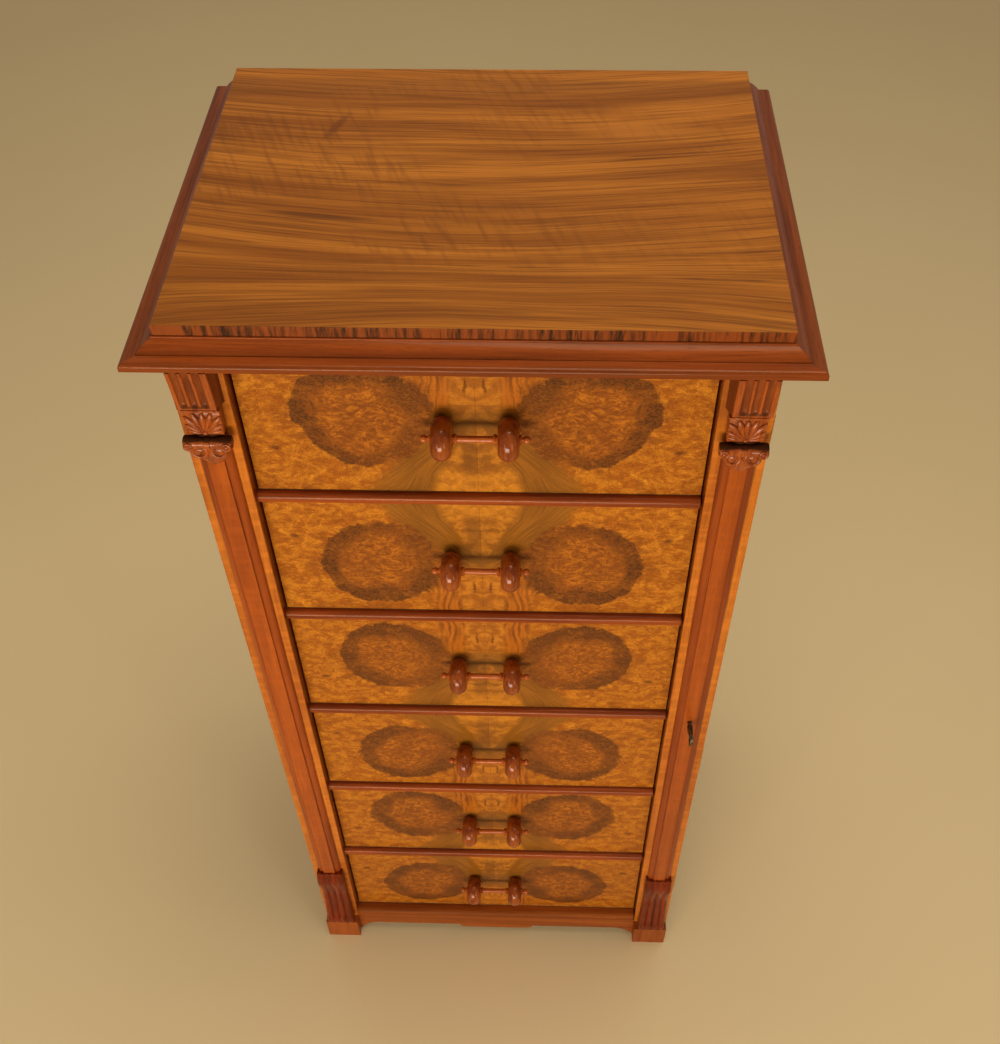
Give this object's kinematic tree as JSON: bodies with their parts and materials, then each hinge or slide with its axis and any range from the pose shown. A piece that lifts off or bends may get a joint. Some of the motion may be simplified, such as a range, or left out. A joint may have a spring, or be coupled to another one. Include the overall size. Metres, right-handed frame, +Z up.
{
  "type": "wellington chest",
  "caption": "Tall narrow chest of equal drawers between pilastered stiles; the right stile is a hinged, keyed door, under a moulded overhanging top.",
  "frame": {"origin": "on the floor, under the middle of the bounding box", "axes": "+X to the chest's right as seen from the front, +Y to its back, +Z up"},
  "size_m": [0.585, 0.4614, 1.2095],
  "materials": {
    "figured_walnut": "french polished straight-grained walnut",
    "moulding_walnut": "polished red-brown walnut",
    "bead_walnut": "polished dark red-brown walnut",
    "burr_walnut": "french polished burr walnut veneer",
    "stile_walnut": "polished walnut",
    "pilaster_walnut": "polished red walnut",
    "carved_walnut": "polished carved walnut",
    "turned_walnut": "gloss turned walnut",
    "carcase_walnut": "polished walnut",
    "drawer_lining": "bare waxed hardwood",
    "carcase_pine": "bare softwood",
    "brass": "aged brass",
    "key_steel": "darkened steel"
  },
  "bodies": {
    "carcase": {"side_left": "carcase_walnut", "side_right": "carcase_walnut", "back_boards": "carcase_pine", "front_posts": "carcase_pine", "feet": "carved_walnut", "divider_rails": "carcase_pine", "rail_beads": "bead_walnut", "base_bead": "carcase_walnut", "apron": "carcase_walnut", "dust_boards": "carcase_pine", "drawer_runners": "carcase_pine", "drawer_stops": "carcase_pine", "top_board": "carcase_pine", "top_moulding_front": "moulding_walnut", "top_moulding_sides": "moulding_walnut", "top_slab": "figured_walnut", "stile_left": "stile_walnut", "pilaster_left": "pilaster_walnut", "corbel_left": "carved_walnut", "block_left": "carved_walnut", "hinges_fixed": "brass", "lock_strike": "brass"},
    "drawer_1": {"drawer_1_front": "burr_walnut", "drawer_1_sides": "drawer_lining", "drawer_1_rear": "drawer_lining", "drawer_1_bottom": "drawer_lining", "drawer_1_handle": "turned_walnut"},
    "drawer_2": {"drawer_2_front": "burr_walnut", "drawer_2_sides": "drawer_lining", "drawer_2_rear": "drawer_lining", "drawer_2_bottom": "drawer_lining", "drawer_2_handle": "turned_walnut"},
    "drawer_3": {"drawer_3_front": "burr_walnut", "drawer_3_sides": "drawer_lining", "drawer_3_rear": "drawer_lining", "drawer_3_bottom": "drawer_lining", "drawer_3_handle": "turned_walnut"},
    "drawer_4": {"drawer_4_front": "burr_walnut", "drawer_4_sides": "drawer_lining", "drawer_4_rear": "drawer_lining", "drawer_4_bottom": "drawer_lining", "drawer_4_handle": "turned_walnut"},
    "drawer_5": {"drawer_5_front": "burr_walnut", "drawer_5_sides": "drawer_lining", "drawer_5_rear": "drawer_lining", "drawer_5_bottom": "drawer_lining", "drawer_5_handle": "turned_walnut"},
    "drawer_6": {"drawer_6_front": "burr_walnut", "drawer_6_sides": "drawer_lining", "drawer_6_rear": "drawer_lining", "drawer_6_bottom": "drawer_lining", "drawer_6_handle": "turned_walnut"},
    "locking_stile": {"stile_right": "stile_walnut", "pilaster_right": "pilaster_walnut", "corbel_right": "carved_walnut", "block_right": "carved_walnut", "hinges_moving": "brass", "lock_case": "brass"},
    "key": {"key": "key_steel"},
    "bolt": {"lock_bolt": "brass"}
  },
  "joints": [
    {"name": "drawer_1_slide", "type": "slide", "parent": "carcase", "child": "drawer_1", "axis": [0, -1, 0], "range_m": [0, 0.27]},
    {"name": "drawer_2_slide", "type": "slide", "parent": "carcase", "child": "drawer_2", "axis": [0, -1, 0], "range_m": [0, 0.27]},
    {"name": "drawer_3_slide", "type": "slide", "parent": "carcase", "child": "drawer_3", "axis": [0, -1, 0], "range_m": [0, 0.27]},
    {"name": "drawer_4_slide", "type": "slide", "parent": "carcase", "child": "drawer_4", "axis": [0, -1, 0], "range_m": [0, 0.27]},
    {"name": "drawer_5_slide", "type": "slide", "parent": "carcase", "child": "drawer_5", "axis": [0, -1, 0], "range_m": [0, 0.27]},
    {"name": "drawer_6_slide", "type": "slide", "parent": "carcase", "child": "drawer_6", "axis": [0, -1, 0], "range_m": [0, 0.27]},
    {"name": "stile_hinge", "type": "hinge", "parent": "carcase", "child": "locking_stile", "pos_m": [0.2634, -0.171, 0.0495], "axis": [0, 0, 1], "range_deg": [0, 170]},
    {"name": "key_turn", "type": "hinge", "parent": "locking_stile", "child": "key", "pos_m": [0.23575, -0.19325, 0.637], "axis": [0, 1, 0], "range_deg": [0, 360]},
    {"name": "bolt_slide", "type": "slide", "parent": "locking_stile", "child": "bolt", "axis": [-1, 0, 0], "range_m": [0, 0.008]}
  ],
  "couplings": [
    {"joint": "bolt_slide", "follows": "key_turn", "m_per_rad": 0.0012732}
  ]
}
